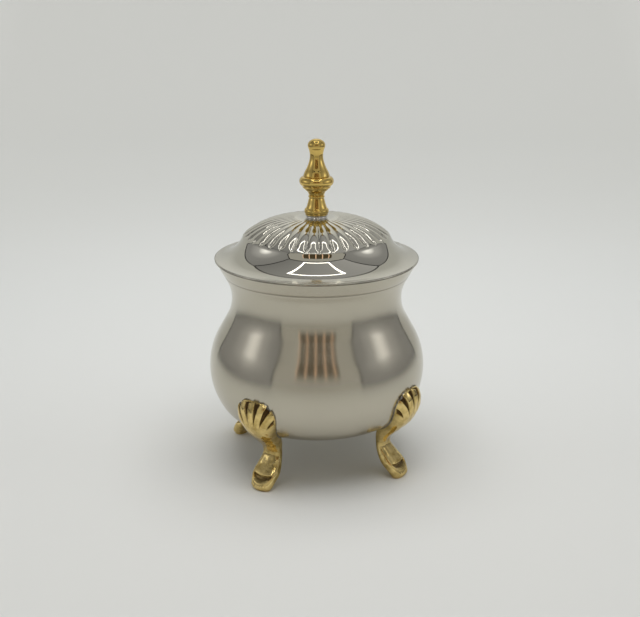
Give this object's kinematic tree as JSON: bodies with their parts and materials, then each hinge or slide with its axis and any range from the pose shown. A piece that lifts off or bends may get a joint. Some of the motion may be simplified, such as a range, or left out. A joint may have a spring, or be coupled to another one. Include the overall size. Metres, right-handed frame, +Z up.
{
  "type": "footed sugar bowl",
  "caption": "Round footed sugar bowl with a flared neck, a lift-off domed lid with pressed lobes, a turned brass knob and cast brass shell legs.",
  "frame": {"origin": "on the table, under the pot's axis", "axes": "+Z up along the pot's axis; -Y is the front; the legs stand on the diagonals"},
  "size_m": [0.0918, 0.0918, 0.1393],
  "materials": {
    "satin_steel": "spun satin, fine lines round the axis",
    "polished_steel": "mirror polished dome, satin brim",
    "plated_steel": "bright",
    "polished_brass": "polished",
    "cast_brass": "polished casting, dark in its hollows"
  },
  "bodies": {
    "bowl": {"bowl_body": "satin_steel", "leg_front_left": "cast_brass", "leg_front_right": "cast_brass", "leg_back_right": "cast_brass", "leg_back_left": "cast_brass"},
    "lid": {"lid_cover": "polished_steel", "lid_locating_ring": "satin_steel", "knob": "polished_brass", "knob_collar": "plated_steel", "knob_screw": "plated_steel", "screw_washer": "plated_steel"}
  },
  "joints": [
    {"name": "lid_lift", "type": "slide", "parent": "bowl", "child": "lid", "axis": [0, 0, 1], "range_m": [0, 0.06]}
  ]
}
